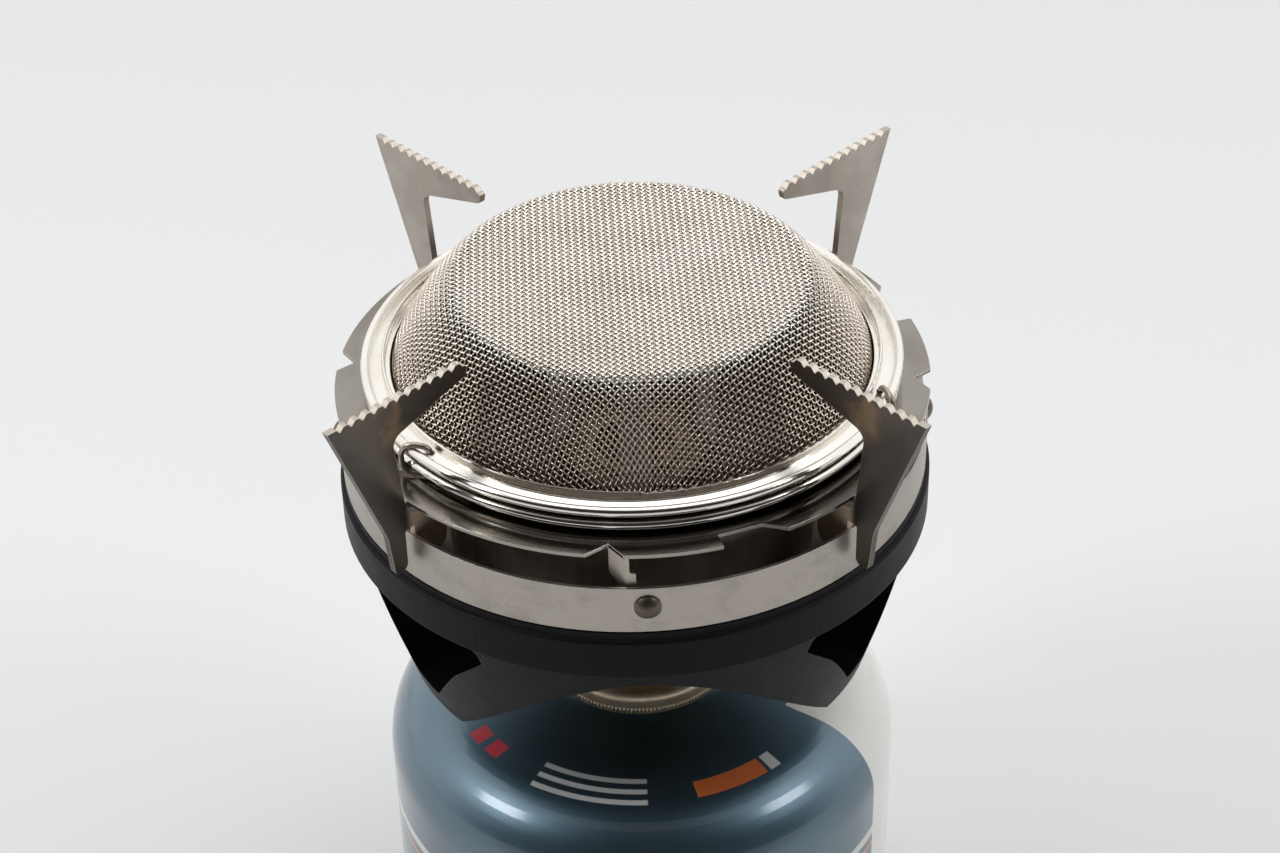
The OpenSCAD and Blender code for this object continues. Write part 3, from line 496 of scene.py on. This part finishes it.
def paint_frame():
    """Gives each solid the material of its slot, or its own where it has one."""
    slots = {
        "can_paint": can_paint(),
        "tinplate": turned_metal("tinplate", (0.58, 0.58, 0.57), (0.40, 0.40, 0.39), 0.26),
        "gold_lacquer": gold_lacquer(),
        "brass": turned_metal("brass", (0.66, 0.51, 0.26), (0.45, 0.34, 0.17), 0.24),
        "sintered": sintered(),
        "seal_rubber": soft_solid(
            "seal_rubber", (0.018, 0.018, 0.018), (0.032, 0.031, 0.030), 0.55, 0.75),
        "white_plastic": soft_solid(
            "white_plastic", (0.82, 0.82, 0.79), (0.74, 0.73, 0.69), 0.35, 0.5),
        "spring_steel": turned_metal(
            "spring_steel", (0.62, 0.60, 0.57), (0.40, 0.37, 0.33), 0.22, (40, 40, 1)),
        "brushed_steel": brushed_steel(),
        "tinted_steel": tinted_steel(
            "tinted_steel", (0.30, 0.262, 0.225), (0.48, 0.435, 0.39), (0.40, 0.345, 0.285)),
        "mesh_steel": mesh_steel(),
        "black_plastic": black_plastic(),
    }
    # Painted shade: the front arms get a darker copy of the tinted steel, since they face the dim
    # front; the rear arms keep the lighter one.
    front_arms_shaded = tinted_steel(
        "front_arm_shaded_steel", (0.105, 0.088, 0.072), (0.128, 0.115, 0.103), (0.25, 0.178, 0.118))
    own = {
        "burner_cup": cup_steel(),
        "bayonet_plate": plate_steel(),
        "flame_spreader": soft_solid(
            "blasted_steel", (0.86, 0.83, 0.78), (0.80, 0.77, 0.72), 0.55, 0.7),
        # Painted shade: the nut inside the cup is made dark so that it stays unseen through the mesh.
        "tube_nut": turned_metal("shaded_brass", (0.16, 0.13, 0.09), (0.10, 0.085, 0.065), 0.36),
        "mixing_tube": turned_metal("dull_brass", (0.30, 0.24, 0.15), (0.18, 0.145, 0.095), 0.34),
        "retaining_ring": ring_steel(),
        "front_left_arm": front_arms_shaded,
        "front_right_arm": front_arms_shaded,
        "lock_pins": turned_metal(
            "pin_steel", (0.17, 0.142, 0.115), (0.105, 0.086, 0.07), 0.30, ALL_WAYS),
    }
    for part in frame["record"]["subparts"]:
        node, slot = part["node"], part["material_slot"]
        for place in frame["nodes"][node].material_slots:
            place.material = own[node] if node in own else slots[slot]
    return slots


# Wire cloth

def dome_line():
    """Length, radius and height along the middle of the cloth, from its top out to its foot."""
    top = DOME_HIGH.z
    crease = np.array([CREASE_R, top - CROWN])
    foot = np.array([SLOPE_R, top - SLOPE_DROP])
    share = np.linspace(0, 1, LINE_POINTS)[:, None]
    crown = np.hstack([share * CREASE_R, top - CROWN * share**2])
    run = foot - crease
    out = np.array([-run[1], run[0]]) / np.hypot(*run)
    slope = crease + run * share + out * 4 * SWELL * share * (1 - share)
    skirt = foot + share * np.array([SKIRT_LEAN, -SKIRT])
    line = np.vstack([crown, slope[1:], skirt[1:]])
    length = np.concatenate([[0], np.cumsum(np.hypot(*np.diff(line, axis=0).T))])
    even = np.arange(0, length[-1], LINE_STEP)
    line = np.column_stack([np.interp(even, length, c) for c in line.T])
    reach = int(CREASE_SOFT / LINE_STEP)
    kernel = np.hanning(2 * reach + 3)[1:-1]
    mirrored = np.vstack([line[reach:0:-1] * [-1, 1], line, 2 * line[-1] - line[-2:-reach - 2:-1]])
    line = np.column_stack([np.convolve(c, kernel / kernel.sum(), "valid") for c in mirrored.T])
    along = np.gradient(line, axis=0)
    along /= np.linalg.norm(along, axis=1)[:, None]
    line = line + np.column_stack([along[:, 1], -along[:, 0]]) * CLOTH_T / 2
    line[:, 0] = np.maximum(line[:, 0], 0)
    length = np.concatenate([[0], np.cumsum(np.hypot(*np.diff(line, axis=0).T))])
    return length, line[:, 0], line[:, 1]


def drape(line):
    """Lengths and turns of the crossings in a quarter of a cloth whose wires don't stretch."""
    length, radius, height = line
    count = int(length[-1] / PITCH) + 1
    d_radius, d_height = np.gradient(radius, length), np.gradient(height, length)
    s = np.full((count, count), np.nan)
    t = np.full((count, count), np.nan)
    steps = np.arange(count)
    s[:, 0] = s[0, :] = steps * PITCH
    t[:, 0] = 0
    t[0, 1:] = math.pi / 2

    def place(s, t):
        r = np.interp(s, length, radius)
        return np.column_stack([r * np.cos(t), r * np.sin(t), np.interp(s, length, height)])

    for total in range(2, 2 * count - 1):
        i = np.arange(max(1, total - count + 1), min(count, total))
        j = total - i
        known = ~np.isnan(s[i - 1, j] + s[i, j - 1])
        i, j = i[known], j[known]
        if not len(i):
            break
        a, b = place(s[i - 1, j], t[i - 1, j]), place(s[i, j - 1], t[i, j - 1])
        guess = a + b - place(s[i - 1, j - 1], t[i - 1, j - 1])
        s_new = s[i - 1, j] + s[i, j - 1] - s[i - 1, j - 1]
        t_new = np.arctan2(guess[:, 1], guess[:, 0])
        for _ in range(SOLVE_ROUNDS):
            p = place(s_new, t_new)
            r = np.maximum(np.hypot(p[:, 0], p[:, 1]), 1e-6)
            dr, dz = np.interp(s_new, length, d_radius), np.interp(s_new, length, d_height)
            by_s = np.column_stack([dr * np.cos(t_new), dr * np.sin(t_new), dz])
            by_t = np.column_stack([-r * np.sin(t_new), r * np.cos(t_new), 0 * r])
            f1 = ((p - a) ** 2).sum(1) - PITCH**2
            f2 = ((p - b) ** 2).sum(1) - PITCH**2
            m11, m12 = 2 * ((p - a) * by_s).sum(1), 2 * ((p - a) * by_t).sum(1)
            m21, m22 = 2 * ((p - b) * by_s).sum(1), 2 * ((p - b) * by_t).sum(1)
            whole = m11 * m22 - m12 * m21
            whole = np.where(np.abs(whole) < 1e-16, 1e-16, whole)
            s_new = s_new - np.clip((m22 * f1 - m12 * f2) / whole, -PITCH / 2, PITCH / 2)
            t_new = t_new - np.clip((m11 * f2 - m21 * f1) / whole * r, -PITCH / 2, PITCH / 2) / r
        good = (s_new < length[-1] - PITCH) & (np.abs(f1) + np.abs(f2) < 0.02 * PITCH**2)
        s[i[good], j[good]], t[i[good], j[good]] = s_new[good], t_new[good]
    s[s > length[-1] - PITCH] = np.nan
    return s, t


def whole_cloth(line):
    """Crossings and normals of the whole cloth, indexed by wire, from its quarter."""
    length, radius, height = line
    s, t = drape(line)
    count = len(s)
    size = 2 * count - 1
    all_s, all_t = np.full((size, size), np.nan), np.full((size, size), np.nan)
    middle = count - 1
    for quarter in range(4):
        for i in range(count):
            for j in range(1 if quarter else 0, count):
                u, v = ((i, j), (-j, i), (-i, -j), (j, -i))[quarter]
                all_s[middle + u, middle + v] = s[i, j]
                all_t[middle + u, middle + v] = t[i, j] + quarter * math.pi / 2
    r, z = np.interp(all_s, length, radius), np.interp(all_s, length, height)
    slope_r = np.interp(all_s, length, np.gradient(radius, length))
    slope_z = np.interp(all_s, length, np.gradient(height, length))
    turn = all_t + WEAVE_TURN
    points = np.stack([r * np.cos(turn), r * np.sin(turn), z], -1)
    normals = np.stack([-slope_z * np.cos(turn), -slope_z * np.sin(turn), slope_r], -1)
    return points, normals


def wire_rings(centres, normals, radius, sides):
    """Rings of points round a bent wire, for a run of centres."""
    along = np.gradient(centres, axis=0)
    along /= np.linalg.norm(along, axis=1)[:, None]
    out = normals - along * (normals * along).sum(1)[:, None]
    out /= np.linalg.norm(out, axis=1)[:, None]
    side = np.cross(along, out)
    angles = np.arange(sides) * 2 * math.pi / sides
    rings = [centres + radius * (math.cos(a) * out + math.sin(a) * side) for a in angles]
    return np.stack(rings, 1)


def tube_faces(rings, start):
    """Faces of a capped tube whose first point has the number start."""
    count, sides = rings.shape[:2]
    base = start + sides * np.arange(count - 1)[:, None]
    k = np.arange(sides)
    nxt = (k + 1) % sides
    quads = np.stack([base + k, base + nxt, base + sides + nxt, base + sides + k], -1)
    last = start + sides * (count - 1)
    caps = [list(range(start, start + sides))[::-1], list(range(last, last + sides))]
    return quads.reshape(-1, 4).tolist() + caps


def new_piece(name, verts, faces, material, body):
    """Smooth mesh that rides on a body."""
    mesh = bpy.data.meshes.new(name)
    mesh.from_pydata(np.asarray(verts).tolist(), [], faces)
    mesh.polygons.foreach_set("use_smooth", [True] * len(mesh.polygons))
    mesh.materials.append(material)
    mesh.update()
    piece = bpy.data.objects.new(name, mesh)
    bpy.context.scene.collection.objects.link(piece)
    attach(piece, body)
    return piece


def weave(name, points, normals, lift, material):
    """One set of wires: each row of crossings is a wire that goes over and under the others."""
    verts, faces = [], []
    start = 0
    for row in range(len(points)):
        held = np.flatnonzero(~np.isnan(points[row, :, 0]))
        if len(held) < 4:
            continue
        p, n = points[row, held], normals[row, held]
        over = lift * (1 - 2 * ((held + row) % 2))
        near = np.vstack([2 * p[0] - p[1], p, 2 * p[-1] - p[-2]])
        mids = (9 * (near[1:-2] + near[2:-1]) - near[:-3] - near[3:]) / 16
        centres = np.empty((2 * len(p) - 1, 3))
        outs = np.empty_like(centres)
        centres[::2] = p + n * (over * WIRE_R)[:, None]
        centres[1::2] = mids
        outs[::2] = n
        outs[1::2] = n[:-1] + n[1:]
        rings = wire_rings(centres, outs, WIRE_R, WIRE_SIDES)
        verts.append(rings.reshape(-1, 3))
        faces += tube_faces(rings, start)
        start += WIRE_SIDES * len(centres)
    piece = new_piece(name, np.vstack(verts), faces, material, "stove")
    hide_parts("mesh_dome")


def make_cloth(material):
    """Both sets of wires of the dome."""
    points, normals = whole_cloth(dome_line())
    weave("dome_warp", points, normals, 1, material)
    weave("dome_weft", points.transpose(1, 0, 2), normals.transpose(1, 0, 2), -1, material)


# Small pieces

def turned(points, degrees):
    """Points turned about the stove's axis, from the front towards +X."""
    c, s = math.cos(math.radians(degrees)), math.sin(math.radians(degrees))
    return np.asarray(points) @ np.array([[c, s, 0], [-s, c, 0], [0, 0, 1]])


def make_ties(material):
    """Wire loops that hold the ring to the cup, bent round both of their beads."""
    low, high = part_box("wire_ties")
    top, bottom = high.z - TIE_WIRE_R, low.z + TIE_WIRE_R
    tail, hook = (TIE_W, bottom + TIE_TAIL), (0.85 * TIE_W, bottom)
    loop = np.array([tail, (TIE_W, top), (0, top), (0, bottom), hook])
    for _ in range(4):
        share = np.tile([[0.25], [0.75]], (len(loop) - 1, 1))
        ahead = np.repeat(loop[1:], 2, axis=0)
        behind = np.repeat(loop[:-1], 2, axis=0)
        cut = behind + (ahead - behind) * share
        loop = np.vstack([loop[:1], cut, loop[-1:]])
    inward = np.array([math.sin(TIE_SKEW), math.cos(TIE_SKEW), 0])
    across = np.array([math.cos(TIE_SKEW), -math.sin(TIE_SKEW), 0])
    path = np.array([0, -TIE_R, 0]) + loop[:, :1] * inward + loop[:, 1:] * np.array([0, 0, 1])
    rings = wire_rings(path, np.tile(across, (len(path), 1)), TIE_WIRE_R, TIE_SIDES)
    verts, faces = [], []
    for degrees in TIE_TURNS:
        faces += tube_faces(rings, len(verts) * len(path) * TIE_SIDES)
        verts.append(turned(rings.reshape(-1, 3), degrees))
    piece = new_piece("tie_loops", np.vstack(verts), faces, material, "stove")
    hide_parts("wire_ties")


def make_crimp(material):
    """Fine teeth that the crimping tool pressed round the foot of the canister's curl."""
    curl_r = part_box("valve_cup")[1].x
    crest, root, inner = curl_r + TOOTH_OUT, curl_r + 0.01 * MM, curl_r - 0.2 * MM
    bottom, top = CURL_FOOT - 0.12 * MM, CURL_FOOT + TOOTH_H
    bevel = top - 0.5 * MM
    steps, corners = 4 * CRIMP_TEETH, 5
    verts = []
    for k in range(steps):
        turn = 2 * math.pi * k / steps
        out = crest if k % 4 in (1, 2) else root
        for r, z in ((inner, bottom), (out, bottom), (out, bevel), (root, top), (inner, top)):
            verts.append((r * math.sin(turn), -r * math.cos(turn), z))
    faces = []
    for k in range(steps):
        here, there = corners * k, corners * ((k + 1) % steps)
        for i in range(corners):
            j = (i + 1) % corners
            faces.append((here + i, there + i, there + j, here + j))
    piece = new_piece("curl_teeth", verts, faces, material, "canister")
    piece.data.polygons.foreach_set("use_smooth", [False] * len(faces))


# Stage

def make_camera():
    """Camera that was fitted to the photograph."""
    pitch, yaw, roll = (math.radians(a) for a in (CAM_PITCH, CAM_YAW, CAM_ROLL))
    level = math.cos(pitch)
    ahead = Vector((math.sin(yaw) * level, math.cos(yaw) * level, math.sin(pitch)))
    right = Vector((math.cos(yaw), -math.sin(yaw), 0))
    up = right.cross(ahead)
    across = math.cos(roll) * right + math.sin(roll) * up
    above = math.cos(roll) * up - math.sin(roll) * right
    data = bpy.data.cameras.new("camera")
    data.sensor_width = SENSOR
    data.lens = FOCAL_PX / IMAGE_W * SENSOR
    data.clip_start = 0.01
    camera = bpy.data.objects.new("camera", data)
    turn = Matrix((across, above, -ahead)).transposed()
    camera.matrix_world = Matrix.Translation(CAM_AT) @ turn.to_4x4()
    bpy.context.scene.collection.objects.link(camera)
    bpy.context.scene.camera = camera


def make_floor():
    """Wide round sheet of pale paper."""
    angles = np.arange(FLOOR_SIDES) * 2 * math.pi / FLOOR_SIDES
    ring = [(FLOOR_R * math.cos(a), FLOOR_R * math.sin(a), 0) for a in angles]
    mesh = bpy.data.meshes.new("floor")
    mesh.from_pydata(ring, [], [list(range(FLOOR_SIDES))])
    floor = bpy.data.objects.new("floor", mesh)
    bpy.context.scene.collection.objects.link(floor)
    look = Look("paper", roughness=0.9, specular_ior_level=0.1)
    cloud = look.noise(0.4, 2)
    look.set("Base Color", look.mix(cloud, (0.785, 0.788, 0.790), (0.800, 0.802, 0.802)))
    floor.data.materials.append(look.material)


def make_world():
    """White room that is dim on the viewer's side."""
    world = bpy.data.worlds.new("room")
    bpy.context.scene.world = world
    world.use_nodes = True
    tree = world.node_tree
    sky = tree.nodes["Background"]
    sky.inputs["Color"].default_value = (1, 1, 1, 1)
    spot = tree.nodes.new("ShaderNodeTexCoord")
    parts = tree.nodes.new("ShaderNodeSeparateXYZ")
    tree.links.new(spot.outputs["Generated"], parts.inputs[0])
    ramp = tree.nodes.new("ShaderNodeMapRange")
    ramp.interpolation_type = "SMOOTHSTEP"
    for name, value in zip(("From Min", "From Max", "To Min", "To Max"), ROOM_RUN + ROOM_LIGHT):
        ramp.inputs[name].default_value = value
    tree.links.new(parts.outputs["Y"], ramp.inputs["Value"])
    light = tree.nodes.new("ShaderNodeLightPath")
    pick = tree.nodes.new("ShaderNodeMix")
    tree.links.new(light.outputs["Is Camera Ray"], pick.inputs["Factor"])
    tree.links.new(ramp.outputs[0], pick.inputs["A"])
    pick.inputs["B"].default_value = BACKDROP
    tree.links.new(pick.outputs["Result"], sky.inputs["Strength"])


def make_lamp(name, at, aim, size, power):
    """Square lamp that shines on a point: metres and watts."""
    data = bpy.data.lights.new(name, "AREA")
    data.shape = "SQUARE"
    data.size = size
    data.energy = power
    lamp = bpy.data.objects.new(name, data)
    lamp.location = at
    lamp.rotation_mode = "QUATERNION"
    lamp.rotation_quaternion = (Vector(aim) - Vector(at)).to_track_quat("-Z", "Y")
    bpy.context.scene.collection.objects.link(lamp)


def make_stage():
    """Camera, floor, room and lamps."""
    middle = (0, 0, 0.11)
    make_camera()
    make_floor()
    make_world()
    make_lamp("top", at=(0.0, 0.25, 1.25), aim=middle, size=0.9, power=2.6)
    make_lamp("left", at=(-0.85, -0.22, 0.85), aim=middle, size=0.30, power=3.2)
    make_lamp("right", at=(0.85, -0.22, 0.85), aim=middle, size=0.30, power=2.2)
    bpy.context.scene.view_settings.view_transform = "Standard"


make_stage()
materials = paint_frame()
make_cloth(materials["mesh_steel"])
make_ties(turned_metal("tie_wire", (0.40, 0.36, 0.31), (0.24, 0.21, 0.18), 0.26, ALL_WAYS))
make_crimp(materials["gold_lacquer"])
